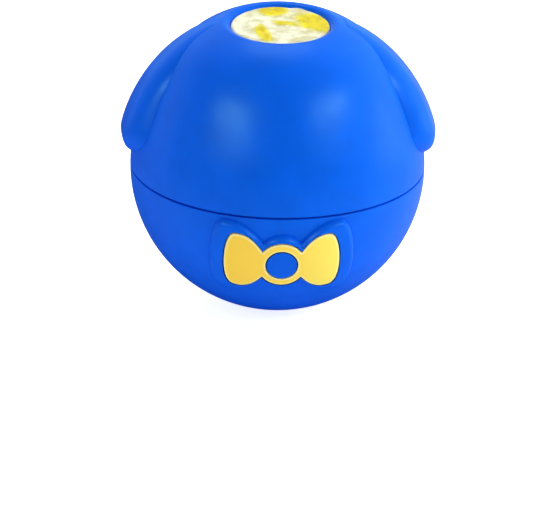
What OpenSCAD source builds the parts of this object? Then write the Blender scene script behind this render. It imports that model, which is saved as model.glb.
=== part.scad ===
// Treat dispensing ball: two screwed halves with ear flaps, a bow, a lick tray and a treat hole.
// Millimetres, +Z up, origin at the centre of the flat that the ball stands on.
// The bow faces -Y, the ears lie on +X and -X, and the treat hole opens to +Y.

/* [Ball] */
// Diameter of the round body at the seam
ball_d = 96; // [92:1:104]
// Height of the slice that is cut off the bottom as a standing flat
flat_cut = 1.5; // [1:0.25:2.5]
// Wall of both hollow halves
shell_wall = 4; // [3.5:0.25:5]
// Leg of the small bevel on each outer seam edge
seam_bevel = 0.35; // [0.2:0.05:0.8]

/* [Neck and thread] */
// Width of the flat ring where the hood sits on the base
seam_face = 9.6; // [9:0.1:11]
// Height of the neck over the seam
neck_h = 22.5; // [18:0.5:23.5]
// Wall of the neck
neck_wall = 7.5; // [6:0.25:9]
// Radius of the rounding on the neck's rim
neck_round = 2.6; // [1:0.2:2.8]
// Rise of the thread in one turn
thread_pitch = 4.4; // [4:0.2:4.8]
// Number of turns on the neck
thread_turns = 2; // [1.5:0.25:2]
// Number of turns inside the hood
hood_turns = 1.25; // [1:0.25:1.5]
// Height of a thread ridge over the wall that carries it
thread_depth = 1.5; // [1:0.1:1.8]
// Height of the first turn's middle over the seam
thread_start = 1.8; // [1.6:0.1:3]
// Width of a ridge where it leaves the wall
ridge_root_w = 2.4; // [2:0.1:2.6]
// Width of a ridge at its crest
ridge_crest_w = 1.1; // [0.8:0.1:1.4]
// Free play between the neck and the hood, measured on the radius
thread_gap = 0.4; // [0.3:0.05:0.6]

/* [Ledge around the neck] */
// Radius of the hollow channel in the ledge
channel_r = 4; // [3:0.25:4.5]
// Depth of that channel under the seam
channel_depth = 1.8; // [1:0.2:2.4]
// Thickness of the deck that carries the neck
deck_t = 6; // [5:0.25:8]

/* [Ears] */
// How far an ear stands out from the ball
ear_t = 5.2; // [3:0.1:6]
// Width of an ear at its widest
ear_w = 27.5; // [23:0.5:31]
// Width of the rounded shoulder round an ear
ear_round = 5; // [3.5:0.5:6.5]
// Length of the slope where an ear grows out of the lip
ear_root_slope = 3; // [2:0.5:8]
// Length of the rounding at an ear's tip
ear_tip_round = 7; // [4:0.5:9]
// Depth that an ear's edge is sunk into the shell
ear_sink = 0.8; // [0.5:0.1:1]

/* [Top opening] */
// Diameter of the opening in the top
top_d = 32.6; // [28:0.2:34]
// How far the raised lip stands out from the ball
lip_t = 4.8; // [3:0.1:5.6]
// Radius of the rounding on the lip's inner edge
lip_round = 2.2; // [1:0.2:2.8]
// Height of the lip over the cup that sits under it
lip_depth = 3; // [2.4:0.1:4]

/* [Lick cup] */
// Wall and floor of the cup under the opening
cup_wall = 2.1; // [1.6:0.1:2.6]
// Depth of the cup under the lip
cup_depth = 10; // [7:0.5:11]
// Radius of the rounding in the cup's inside corner
cup_round = 3; // [1:0.5:4]
// Free play between the cup and its seat in the hood, on the radius
cup_gap = 0.1; // [0.05:0.01:0.1]

/* [Treat hole] */
// Diameter of the treat hole
treat_d = 16; // [13:0.5:18]
// Radius of the rounding on the hole's outer edge
treat_round = 2; // [1:0.25:2.5]

/* [Lick tray] */
// Thickness of the tray's disc
tray_t = 3.5; // [2.5:0.25:4]
// Height of the tray's top over the seam
tray_top = 3; // [2:0.25:4]
// Width of the step that the tray rests on
tray_step = 3; // [2:0.25:4]
// Free play between the tray and the neck, on the radius
tray_gap = 0.1; // [0.05:0.05:0.3]
// Length of one drop-shaped bump
drop_l = 12; // [9:0.5:13]
// Width of one bump at its round end
drop_w = 6.7; // [5:0.2:7.6]
// Width of one bump at its pointed end
drop_tip_w = 2.2; // [1.4:0.2:3]
// Height of a bump over the tray
drop_h = 3.8; // [2.5:0.2:5]
// Distance from the tray's centre to a bump's pointed end
drop_start = 9.4; // [7:0.2:11]
// Radius of the rounding on a bump's top edge
drop_round = 1.4; // [0.8:0.2:1.6]
// Number of bumps
drop_count = 5; // [4:1:6]

/* [Bow] */
// Width of the yellow bow
bow_w = 37.7; // [30:0.5:40]
// Height of the yellow wings at their ends
wing_h = 21.8; // [18:0.2:23]
// Height of the yellow wings where they meet the ring
pinch_h = 9.4; // [8:0.2:11]
// Width of the yellow ring
ring_w = 15.6; // [13:0.2:17]
// Height of the yellow ring
ring_h = 17.4; // [15:0.2:19]
// Width of the blue oval in the ring
oval_w = 10.8; // [9:0.2:12]
// Height of the blue oval in the ring
oval_h = 11.9; // [10:0.2:13]
// Thickness of the yellow inlay
inlay_t = 0.9; // [0.6:0.1:1.2]
// How far the inlay stands over the pad
inlay_proud = 0.12; // [0.1:0.02:0.3]
// Free play round the inlay in its pocket
inlay_gap = 0.1; // [0.05:0.05:0.2]
// How far the blue pad stands out from the ball
pad_t = 2.3; // [1.6:0.1:3]
// Width of the pad beyond each end of the bow
pad_end = 4.4; // [3.5:0.2:5]
// Width of the pad over and under the wings
pad_edge = 2.8; // [2.2:0.2:3.4]
// Width of the pad over and under the ring
pad_knot = 1.9; // [1.4:0.1:2.4]
// Width of the rounded shoulder of the pad
pad_round = 2.6; // [1.6:0.2:3]
// Depth that the pad's edge is sunk into the shell
pad_sink = 0.8; // [0.5:0.1:1]

/* [Hidden] */

blue = [0.04, 0.33, 0.86];
drop_blue = [0.03, 0.25, 0.72];
yellow = [0.98, 0.82, 0.28];

$fn = 96;
// Overrun of every cutter past the face that it cuts
over = 1;
// Bite of a ridge into the wall that carries it
ridge_bite = 0.5;

ball_r = ball_d / 2;
inner_r = ball_r - shell_wall;
seam_h = ball_r - flat_cut;
relief_r = ball_r - seam_face;
crest_r = relief_r - thread_gap;
neck_r = crest_r - thread_depth;
neck_bore_r = neck_r - neck_wall;
guide_r = neck_r + thread_gap;
relief_h = thread_start + thread_turns * thread_pitch + ridge_root_w;
guide_h = neck_h + thread_gap + thread_gap;

top_r = top_d / 2;
cup_outer_r = top_r + cup_wall;
seat_r = cup_outer_r + cup_gap;
lip_r = ball_r + lip_t;
// Polar angle where the lip's rounding starts, and the height of the lip's top over the seam
lip_round_polar = asin((top_r + lip_round) / (lip_r - lip_round));
lip_round_h = (lip_r - lip_round) * cos(lip_round_polar);
lip_top_h = lip_round_h + lip_round;
lip_seat_h = lip_top_h - lip_depth;
cup_floor_h = lip_seat_h - cup_depth;

tray_bottom = tray_top - tray_t;
tray_r = neck_bore_r - tray_gap;

// Places on the ball, in degrees: from the top pole downwards, and round from the bow's side
ear_root_polar = lip_round_polar;
ear_tip_polar = 82;
ear_root_turn = 101.3;
ear_tip_turn = 85.1;
// How wide an ear's root is, how far down it is widest, and where and how it closes to its tip
leaf_root_share = 0.44;
leaf_peak_share = 0.55;
leaf_close_share = 0.79;
leaf_close_power = 1.9;
leaf_tip_power = 0.6;
leaf_tip_share = 0.03;
shoulder_power = 0.6;
ear_long_steps = 28;
ear_cross_steps = 12;

lip_top_polar = 21;
lip_foot_polar = 72;
hood_steps = 30;

treat_latitude = 46;
// Angle that the treat hole leans down from the ball's radius, so that it is square to the swell
treat_lean_turn = 11;
treat_r = treat_d / 2;
treat_depth = 3 * shell_wall;
bow_latitude = -20;

// Shape of a wing: where it starts in the ring, where it is tallest, and how it swells and ends
wing_root_share = 0.8;
wing_peak_share = 0.62;
wing_swell_power = 0.85;
wing_end_power = 3.2;
wing_steps = 30;
oval_steps = 40;
pad_long_steps = 44;
pad_cross_steps = 10;
// How strongly the pad's steps crowd towards its two ends
pad_crowd_share = 0.35;

ridge_steps = 40;
// Turn over which a ridge rises out of the wall at each end
ridge_fade_turn = 24;
drop_steps = 20;
drop_round_steps = 3;
// Least radius of a drop's pointed end at its top, as a share of that end's radius
drop_least_share = 0.2;

// A point of the ball's space: distance from its centre, polar angle from the top, turn from the front
function on_ball(r, polar, turn) =
    [r * sin(polar) * sin(turn), -r * sin(polar) * cos(turn), r * cos(polar)];

function smooth_step(t) = let(k = min(max(t, 0), 1)) k * k * (3 - 2 * k);

// Falls from 1 to 0 with no kink in the curve at either end
function soft_fall(t) = let(k = min(max(t, 0), 1)) 1 - k * k * k * (10 - 15 * k + 6 * k * k);

// Rounded shoulder: 0 at the edge, 1 at the full height
function shoulder(t) = let(k = min(max(t, 0), 1)) pow(1 - (1 - k) * (1 - k), shoulder_power);

// Splits a grid of points with rows and columns into triangles, and closes its underside
function grid_faces(rows, cols) = concat(
    [
        for (i = [0:rows - 2]) for (j = [0:cols - 2])
            let(a = i * cols + j)
            each [[a, a + 1, a + cols + 1], [a, a + cols + 1, a + cols]]
    ],
    [for (i = [0:rows - 2]) [i * cols + cols - 1, i * cols, (i + 1) * cols]],
    [for (i = [0:rows - 2]) [i * cols + cols - 1, (i + 1) * cols, (i + 1) * cols + cols - 1]],
    [for (j = [1:cols - 2]) [0, j + 1, j]],
    [for (j = [1:cols - 2]) let(last = (rows - 1) * cols) [last, last + j, last + j + 1]]
);

// Half width of an ear, from its root at 0 to its tip at 1
function leaf_half(u) =
    let(
        widening = sin(90 * min(u / leaf_peak_share, 1)),
        closing = max((u - leaf_close_share) / (1 - leaf_close_share), 0),
        widened = leaf_root_share + (1 - leaf_root_share) * widening,
        closed = pow(1 - pow(closing, leaf_close_power), leaf_tip_power)
    )
    ear_w / 2 * max(widened * closed, leaf_tip_share);

// Height of an ear over the ball, at u along it and v across it
function ear_rise(u, v) =
    let(
        long = ball_r * (ear_tip_polar - ear_root_polar) * PI / 180,
        side = (1 - abs(v)) * leaf_half(u) / ear_round,
        tip = (1 - u) * long / ear_tip_round,
        root = u * long / ear_root_slope
    )
    ear_t * shoulder(min(side, tip)) * shoulder(root);

module ear(side) {
    points = [
        for (i = [0:ear_long_steps])
            let(
                u = i / ear_long_steps,
                polar = ear_root_polar + (ear_tip_polar - ear_root_polar) * u,
                middle = ear_root_turn + (ear_tip_turn - ear_root_turn) * u,
                half_turn = leaf_half(u) / (ball_r * sin(polar)) * 180 / PI
            )
            for (j = [0:ear_cross_steps])
                let(
                    v = sin(90 * (2 * j / ear_cross_steps - 1)),
                    rim = i == 0 || i == ear_long_steps || j == 0 || j == ear_cross_steps
                )
                on_ball(ball_r + (rim ? -ear_sink : ear_rise(u, v)), polar, middle + half_turn * v)
    ];
    mirror([side < 0 ? 1 : 0, 0, 0])
        polyhedron(points, grid_faces(ear_long_steps + 1, ear_cross_steps + 1), convexity = 6);
}

// One helical ridge: wall_r is the wall that carries it, side is 1 outwards and -1 inwards
module ridge(wall_r, side, start, turns) {
    steps = ceil(turns * ridge_steps);
    profile_points = 4;
    points = [
        for (i = [0:steps])
            let(
                turn = 360 * turns * i / steps,
                rise = start + thread_pitch * turn / 360,
                fade = smooth_step(min(turn, 360 * turns - turn) / ridge_fade_turn),
                tall = thread_depth * fade - ridge_bite / 2 * (1 - fade),
                crest = wall_r + side * tall,
                root = wall_r - side * ridge_bite
            )
            for (p = [
                [root, -ridge_root_w / 2],
                [crest, -ridge_crest_w / 2],
                [crest, ridge_crest_w / 2],
                [root, ridge_root_w / 2]
            ])
                [p[0] * cos(turn), p[0] * sin(turn), rise + p[1]]
    ];
    sides = [
        for (i = [0:steps - 1]) for (k = [0:profile_points - 1])
            let(
                a = i * profile_points + k,
                b = i * profile_points + (k + 1) % profile_points,
                c = a + profile_points,
                d = b + profile_points
            )
            each (side > 0 ? [[a, d, c], [a, b, d]] : [[a, c, d], [a, d, b]])
    ];
    last = steps * profile_points;
    ends = side > 0
        ? [[3, 2, 1, 0], [last, last + 1, last + 2, last + 3]]
        : [[0, 1, 2, 3], [last + 3, last + 2, last + 1, last]];
    polyhedron(points, concat(sides, ends), convexity = 8);
}

// Half height of the wings at distance x from the bow's middle, grown by ends and edges
function wing_half(x, ends, edges) =
    let(
        root = ring_w / 2 * wing_root_share,
        t = (abs(x) - root) / (bow_w / 2 + ends - root),
        k = min(max(t, 0), 1),
        low = pinch_h / 2 + edges,
        high = wing_h / 2 + edges,
        end = max(k - wing_peak_share, 0) / (1 - wing_peak_share)
    )
    k < wing_peak_share
        ? low + (high - low) * sin(90 * pow(k / wing_peak_share, wing_swell_power))
        : high * sqrt(max(1 - pow(end, wing_end_power), 0));

function ring_half(x, wide, tall) =
    abs(x) < wide / 2 ? tall / 2 * sqrt(1 - pow(2 * x / wide, 2)) : 0;

// Half height of the blue pad at distance x from its middle
function pad_half(x) = max(
    wing_half(x, pad_end, pad_edge),
    ring_half(x, ring_w + pad_knot, ring_h + 2 * pad_knot),
    pad_edge
);

// Puts a point of the bow's flat drawing on the ball, r from its centre
function on_bow(x, up, r) =
    let(
        depth = sqrt(ball_r * ball_r - x * x - up * up),
        out = [0, -cos(bow_latitude), sin(bow_latitude)],
        lift = [0, sin(bow_latitude), cos(bow_latitude)]
    )
    (r / ball_r) * ([x, 0, 0] + depth * out + up * lift);

module bow_pad() {
    half_w = bow_w / 2 + pad_end;
    points = [
        for (i = [0:pad_long_steps])
            let(
                even = 2 * i / pad_long_steps - 1,
                x = half_w * (pad_crowd_share * sin(90 * even) + (1 - pad_crowd_share) * even),
                tall = pad_half(x)
            )
            for (j = [0:pad_cross_steps])
                let(
                    v = sin(90 * (2 * j / pad_cross_steps - 1)),
                    edge = min((1 - abs(v)) * tall, half_w - abs(x)),
                    rim = j == 0 || j == pad_cross_steps || i == 0 || i == pad_long_steps
                )
                on_bow(x, tall * v, ball_r + (rim ? -pad_sink : pad_t * shoulder(edge / pad_round)))
    ];
    polyhedron(points, grid_faces(pad_long_steps + 1, pad_cross_steps + 1), convexity = 6);
}

// The yellow bow, flat, grown by a margin: two wings and a ring round an oval hole
module bow_outline(grow) {
    reach = bow_w / 2 + grow;
    top = [
        for (i = [-wing_steps:wing_steps])
            let(x = reach * sin(90 * i / wing_steps))
            [x, max(wing_half(x, grow, grow), ring_half(x, ring_w + 2 * grow, ring_h + 2 * grow))]
    ];
    bottom = [for (i = [1:2 * wing_steps - 1]) let(p = top[2 * wing_steps - i]) [p[0], -p[1]]];
    difference() {
        polygon(concat(top, bottom));
        polygon([
            for (i = [0:oval_steps - 1])
                let(a = 360 * i / oval_steps)
                [(oval_w / 2 - grow) * cos(a), (oval_h / 2 - grow) * sin(a)]
        ]);
    }
}

// A curved slice of the bow's outline between two distances from the ball's centre
module bow_layer(grow, from_r, to_r) {
    intersection() {
        rotate([90 - bow_latitude, 0, 0])
            linear_extrude(height = to_r + over) bow_outline(grow);
        difference() {
            sphere(r = to_r);
            sphere(r = from_r);
        }
    }
}

inlay_outer_r = ball_r + pad_t + inlay_proud;
inlay_inner_r = inlay_outer_r - inlay_t;

// Half profile of the base: half ball with its flat, deck, ledge channel and neck
module base_profile() {
    channel_half_w = sqrt(channel_r * channel_r - pow(channel_r - channel_depth, 2));
    difference() {
        union() {
            intersection() {
                circle(r = ball_r);
                translate([0, -seam_h]) square([ball_r, seam_h]);
            }
            translate([neck_bore_r, -deck_t]) square([neck_wall, deck_t + neck_h - neck_round]);
            translate([neck_bore_r + neck_round, 0]) square([neck_wall - 2 * neck_round, neck_h]);
            translate([neck_bore_r + neck_round, neck_h - neck_round]) circle(r = neck_round);
            translate([neck_r - neck_round, neck_h - neck_round]) circle(r = neck_round);
        }
        intersection() {
            circle(r = inner_r);
            translate([0, -ball_r]) square([ball_r, ball_r - deck_t]);
        }
        translate([0, -deck_t - over]) square([neck_bore_r - tray_step, deck_t + neck_h + 2 * over]);
        translate([0, tray_bottom]) square([neck_bore_r, neck_h - tray_bottom + over]);
        intersection() {
            translate([neck_r + channel_half_w, channel_r - channel_depth]) circle(r = channel_r);
            translate([neck_r, -channel_r]) square([2 * channel_r, channel_r]);
        }
        polygon([
            [ball_r - seam_bevel, 0],
            [ball_r + over, seam_bevel + over],
            [ball_r + over, -seam_bevel - over]
        ]);
    }
}

module base_shell() {
    color(blue) translate([0, 0, seam_h]) {
        difference() {
            union() {
                rotate_extrude() base_profile();
                ridge(neck_r, 1, thread_start, thread_turns);
                bow_pad();
            }
            bow_layer(inlay_gap, inlay_inner_r, inlay_outer_r + over);
        }
    }
}

module bow_inlay() {
    color(yellow) translate([0, 0, seam_h])
        bow_layer(0, inlay_inner_r, inlay_outer_r);
}

// A raised drop of the tray: round end outwards, pointed end towards the middle
module drop() {
    wide_r = drop_w / 2;
    tip_r = drop_tip_w / 2;
    wide_x = drop_start + drop_l - wide_r;
    tip_x = drop_start + tip_r;
    lean = asin((wide_r - tip_r) / (wide_x - tip_x));
    // Each layer is how far it is drawn in from the outline, and its height over the tray
    layers = concat(
        [[0, -ridge_bite]],
        [
            for (k = [0:drop_round_steps])
                let(a = 90 * k / drop_round_steps)
                [drop_round * (1 - cos(a)), drop_h - drop_round * (1 - sin(a))]
        ]
    );
    points = [
        for (layer = layers)
            for (i = [0:drop_steps - 1])
                let(
                    a = 360 * (i + 0.5) / drop_steps - 180,
                    wide = abs(a) < 90 + lean,
                    r = max((wide ? wide_r : tip_r) - layer[0], tip_r * drop_least_share)
                )
                [(wide ? wide_x : tip_x) + r * cos(a), r * sin(a), layer[1]]
    ];
    rings = len(layers);
    sides = [
        for (k = [0:rings - 2])
            for (i = [0:drop_steps - 1])
                let(
                    a = k * drop_steps + i,
                    b = k * drop_steps + (i + 1) % drop_steps,
                    c = a + drop_steps,
                    d = b + drop_steps
                )
                each [[a, c, d], [a, d, b]]
    ];
    low = [for (i = [0:drop_steps - 1]) i];
    high = [for (i = [0:drop_steps - 1]) rings * drop_steps - 1 - i];
    polyhedron(points, concat(sides, [low, high]), convexity = 4);
}

module lick_tray() {
    color(drop_blue) translate([0, 0, seam_h]) {
        translate([0, 0, tray_bottom]) cylinder(r = tray_r, h = tray_t);
        for (i = [0:drop_count - 1])
            translate([0, 0, tray_top]) rotate([0, 0, 90 + 360 * i / drop_count]) drop();
    }
}

// Half profile of a round pot with a rounded bottom corner
module pot_profile(radius, low, high, corner) {
    translate([0, low]) square([radius - corner, high - low]);
    translate([0, low + corner]) square([radius, high - low - corner]);
    translate([radius - corner, low + corner]) circle(r = corner);
}

module lick_cup() {
    color(blue) translate([0, 0, seam_h]) rotate_extrude() difference() {
        intersection() {
            pot_profile(cup_outer_r, cup_floor_h - cup_wall, lip_seat_h, cup_round + cup_wall);
            square([cup_outer_r, lip_seat_h]);
        }
        intersection() {
            pot_profile(top_r, cup_floor_h, lip_seat_h + over, cup_round);
            square([top_r, lip_seat_h + over]);
        }
    }
}

// Distance of the hood's outside from the ball's centre: a ball that swells towards the lip
function hood_reach(polar) =
    ball_r + lip_t * soft_fall((polar - lip_top_polar) / (lip_foot_polar - lip_top_polar));

// Half profile of the hood: half ball that swells to its lip, less the thread relief, the neck's
// guide and the treat chamber
module hood_profile() {
    outside = [
        for (i = [0:hood_steps])
            let(polar = 90 * (1 - i / hood_steps))
            [hood_reach(polar) * sin(polar), hood_reach(polar) * cos(polar)]
    ];
    difference() {
        polygon(concat([[0, 0]], outside));
        translate([0, -over]) square([relief_r, relief_h + over]);
        translate([0, -over]) square([guide_r, guide_h + over]);
        intersection() {
            circle(r = inner_r);
            translate([0, guide_h - over]) square([inner_r, inner_r]);
        }
        polygon([
            [ball_r - seam_bevel, 0],
            [ball_r + over, seam_bevel + over],
            [ball_r + over, -seam_bevel - over]
        ]);
    }
}

// Half profile of what is cut out for the mouth: the cup's seat, the opening and its rounded edge
module mouth_profile() {
    edge_r = top_r + lip_round;
    edge_reach = lip_round + lip_t;
    square([seat_r, lip_seat_h]);
    square([top_r, lip_r + over]);
    difference() {
        polygon([
            [0, lip_round_h],
            [edge_r, lip_round_h],
            [edge_r + edge_reach * sin(lip_round_polar), lip_round_h + edge_reach * cos(lip_round_polar)],
            [0, lip_round_h + edge_reach * cos(lip_round_polar)]
        ]);
        translate([edge_r, lip_round_h]) circle(r = lip_round);
    }
}

// Cutter of the treat hole, with a flare that rounds its outer edge
module treat_cutter() {
    mouth_r = treat_r + treat_round;
    reach = hood_reach(90 - treat_latitude);
    flare_start = sqrt(reach * reach - mouth_r * mouth_r) - reach - treat_round;
    rotate([treat_latitude - 90, 0, 0]) translate([0, 0, reach]) rotate([-treat_lean_turn, 0, 0]) {
        translate([0, 0, -treat_depth]) cylinder(r = treat_r, h = treat_depth + lip_t);
        translate([0, 0, flare_start]) rotate_extrude() difference() {
            square([mouth_r, treat_round + lip_t]);
            translate([mouth_r, 0]) circle(r = treat_round);
        }
    }
}

module hood_shell() {
    color(blue) translate([0, 0, seam_h]) {
        difference() {
            union() {
                rotate_extrude() hood_profile();
                ear(1);
                ear(-1);
            }
            rotate_extrude() mouth_profile();
            treat_cutter();
        }
        ridge(relief_r, -1, thread_start + thread_pitch / 2, hood_turns);
    }
}

base_shell();
lick_tray();
bow_inlay();
lick_cup();
hood_shell();
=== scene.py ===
"""Looks of the treat dispensing ball.

Lengths are in millimetres and angles in degrees, with the ball's centre as the origin, until
place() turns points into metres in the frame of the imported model. The camera, the lamps and the
floor are set in metres.
"""

import math

import bmesh
import bpy
import numpy as np
from mathutils import Matrix, Vector


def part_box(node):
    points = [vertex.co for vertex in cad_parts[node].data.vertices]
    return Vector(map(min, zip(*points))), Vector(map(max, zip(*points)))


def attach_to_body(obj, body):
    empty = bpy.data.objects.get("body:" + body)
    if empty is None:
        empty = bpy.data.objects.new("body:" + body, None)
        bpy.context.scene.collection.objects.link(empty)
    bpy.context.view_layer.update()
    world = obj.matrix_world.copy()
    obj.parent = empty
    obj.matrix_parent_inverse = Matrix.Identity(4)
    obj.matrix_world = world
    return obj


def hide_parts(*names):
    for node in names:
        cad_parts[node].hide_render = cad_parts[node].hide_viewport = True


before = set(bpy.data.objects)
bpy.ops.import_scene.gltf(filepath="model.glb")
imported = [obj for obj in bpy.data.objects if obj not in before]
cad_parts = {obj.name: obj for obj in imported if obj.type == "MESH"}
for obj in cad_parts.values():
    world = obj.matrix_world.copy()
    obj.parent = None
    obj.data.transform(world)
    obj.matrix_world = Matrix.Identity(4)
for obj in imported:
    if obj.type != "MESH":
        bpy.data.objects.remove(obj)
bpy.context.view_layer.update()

MM = 0.001
# Reach of a cutter past what it cuts
OVER = 1.0
# How far a ridge, a drop or the food on the tray sinks into what carries it
BITE = 0.5
# Below this radius a point lies on the axis
ON_AXIS = 1e-6
# Least squared length that is divided by
LEAST_SQUARE = 1e-12
# Largest angle between two faces that shade as one
CREASE = 32.0
SEAM_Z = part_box("hood_shell")[0].z
BALL_CENTRE = Vector((0, 0, SEAM_Z))

# Ball, and the slot at its seam
BALL_R = 48.0
WALL = 4.0
INNER_R = BALL_R - WALL
FLAT_H = -SEAM_Z / MM
SEAM_ROUND = 0.2
SEAM_SLOT_H = 0.65
SEAM_SLOT_DEPTH = 2.2

# Neck, ledge and thread
RELIEF_R = 38.4
NECK_R = 36.5
BORE_R = 29.0
GUIDE_R = 36.9
NECK_H = 22.5
NECK_ROUND = 2.6
RELIEF_H = 13.0
GUIDE_H = 22.3
CHANNEL_R = 4.0
CHANNEL_DEPTH = 1.8
DECK_T = 6.0
TRAY_STEP = 3.0
PITCH = 4.4
RIDGE_DEPTH = 1.5
RIDGE_START = 1.8
RIDGE_ROOT_W = 2.4
RIDGE_CREST_W = 1.1
RIDGE_FADE = 24.0
RIDGE_STEPS = 96
RIDGE_ACROSS = 12
NECK_TURNS = 2.0
HOOD_TURNS = 1.25

# Lip round the top opening; a polar angle is counted from the top
TOP_R = 16.3
LIP_T = 4.8
LIP_R = BALL_R + LIP_T
LIP_ROUND = 2.2
LIP_DEPTH = 3.0
LIP_TOP_POLAR = 21.0
LIP_FOOT_POLAR = 72.0
LIP_ROUND_POLAR = math.degrees(math.asin((TOP_R + LIP_ROUND) / (LIP_R - LIP_ROUND)))
LIP_ROUND_H = (LIP_R - LIP_ROUND) * math.cos(math.radians(LIP_ROUND_POLAR))
LIP_TOP_H = LIP_ROUND_H + LIP_ROUND
LIP_SEAT_H = LIP_TOP_H - LIP_DEPTH
SEAT_R = 18.5

# Ears; a turn is counted round the ball from its front
EAR_T = 5.06
EAR_W = 27.5
EAR_CROWN_SHARE = 0.7
EAR_FADE_POWER = 1.0
EAR_FADE_START_SHARE = 0.35
EAR_FADE_SPAN_SHARE = 0.5
EAR_ROOT_SLOPE = 3.0
EAR_TIP_ROUND = 7.0
EAR_SINK = 0.8
EAR_ROOT_POLAR = LIP_ROUND_POLAR
EAR_TIP_POLAR = 82.5
EAR_ROOT_TURN = 101.3
EAR_TIP_TURN = 85.1
LEAF_ROOT_SHARE = 0.44
LEAF_PEAK_SHARE = 0.55
LEAF_CLOSE_SHARE = 0.79
LEAF_CLOSE_POWER = 1.9
LEAF_TIP_POWER = 0.6
LEAF_TIP_SHARE = 0.03
SHOULDER_POWER = 0.6

# Treat hole
TREAT_R = 8.0
TREAT_ROUND = 2.0
TREAT_LATITUDE = 46.0
TREAT_LEAN = 11.0
TREAT_DEPTH = 12.0

# Bow, the pad behind it and the pocket in the pad
BOW_LATITUDE = -20.0
BOW_TILT = math.radians(BOW_LATITUDE)
BOW_OUT = np.array([0, -math.cos(BOW_TILT), math.sin(BOW_TILT)])
BOW_LIFT = np.array([0, math.sin(BOW_TILT), math.cos(BOW_TILT)])
BOW_W = 37.7
WING_H = 21.8
PINCH_H = 9.4
RING_W = 15.6
RING_H = 17.4
OVAL_W = 10.8
OVAL_H = 11.9
INLAY_T = 0.9
INLAY_PROUD = 0.12
INLAY_ROUND = 0.25
INLAY_CREASE = 50.0
INLAY_GAP = 0.4
# Share of the blue kept in the bow's pocket: painted shade that darkens the rim round the inlay
GROOVE_SHADE_SHARE = 0.03
GROOVE_SLACK = 0.05
MERGE_GAP = 0.004
SLIVER_W = 0.002
PAD_T = 2.3
PAD_END = 4.4
PAD_EDGE = 2.8
PAD_KNOT = 1.9
PAD_ROUND = 1.9
PAD_SINK = 0.8
PAD_TIP_HALF = 0.02
WING_ROOT_SHARE = 0.8
WING_PEAK_SHARE = 0.62
WING_SWELL_POWER = 0.85
WING_END_POWER = 3.2

# Lick tray
TRAY_TOP = 3.0
TRAY_T = 3.5
TRAY_R = 28.9
DROP_L = 12.0
DROP_W = 6.7
DROP_TIP_W = 2.2
DROP_H = 3.8
DROP_START = 9.4
DROP_COUNT = 5
DROP_DOME_POWER = 3.0
DROP_RINGED_SHARE = 0.98

# Soft food in the cup and on the tray
CUP_DEPTH = 10.0
CUP_FLOOR_H = LIP_SEAT_H - CUP_DEPTH
FOOD_DEPTH = 0.8
FOOD_R = 16.2
FOOD_ROUND = 0.9
FOOD_LEVEL_W = 3 * FOOD_ROUND
FOOD_CREASE = 60.0
FOOD_RIM_SHARE = 0.955
FOOD_CORE_SHARE = 0.01
TRAY_FOOD_H = 1.5
TRAY_FOOD_R = 28.7
# Lumps: how many, how far out, size and height
CUP_LUMPS = (160, 16.0, 1.3, 0.3)
CUP_SEED = 11
TRAY_LUMPS = (260, 28.0, 1.3, 0.25)
TRAY_SEED = 31
BEND_LUMPS = (120, 16.0, 1.1, 0.45)
BEND_SEEDS = (5, 6)
LUMP_SIZE_SHARES = (0.6, 1.4)
# Patches of fruit in the cup: strength, place across and back, half length, half width, turn
CUP_PATCHES = [
    (1.2, -1.9, 12.8, 4.4, 4.0, 0.0),
    (1.3, 12.4, 1.8, 8.6, 5.2, -54.0),
    (1.1, -5.8, -7.0, 6.6, 2.2, -77.0),
    (0.7, 1.9, 1.6, 4.6, 1.7, -32.0),
]
CUP_FRUIT_RISE = 0.25
# Patches of fruit on the tray
TRAY_PATCHES = 70
TRAY_PATCH_SEED = 21
TRAY_PATCH_SHARES = (0.01, 0.95)
TRAY_PATCH_L = (0.9, 2.2)
TRAY_PATCH_W = (0.8, 1.5)
TRAY_FRUIT_RISE = 0.35
# Least share of yellow away from the food's rim
FRUIT_LEAST_SHARE = 0.1


# Mesh tools


def place(points):
    """Points in millimetres from the ball's centre, as metres in the frame."""
    moved = np.asarray(points, float) * MM
    moved[:, 2] += SEAM_Z
    return moved


def new_piece(name, mesh):
    piece = bpy.data.objects.new(name, mesh)
    bpy.context.scene.collection.objects.link(piece)
    return piece


def mesh_piece(name, points, faces):
    """A piece from points in millimetres from the ball's centre."""
    mesh = bpy.data.meshes.new(name)
    mesh.from_pydata(place(points).tolist(), [], faces)
    return new_piece(name, mesh)


def outward(piece):
    """Turns every face of a closed mesh to the outside."""
    made = bmesh.new()
    made.from_mesh(piece.data)
    bmesh.ops.recalc_face_normals(made, faces=made.faces)
    made.to_mesh(piece.data)
    made.free()
    return piece


def combine(piece, tool, operation):
    """Joins or cuts piece with tool, and removes tool."""
    change = piece.modifiers.new(operation, "BOOLEAN")
    change.operation = operation
    change.object = tool
    change.solver = "EXACT"
    bpy.context.view_layer.update()
    changed = piece.evaluated_get(bpy.context.evaluated_depsgraph_get())
    shape = bpy.data.meshes.new_from_object(changed)
    piece.modifiers.clear()
    piece.data = shape
    bpy.data.objects.remove(tool)
    return piece


def smooth(piece, crease=CREASE):
    """Smooth shading that breaks at edges sharper than the crease."""
    for polygon in piece.data.polygons:
        polygon.use_smooth = True
    piece.data.set_sharp_from_angle(angle=math.radians(crease))
    return piece


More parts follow.
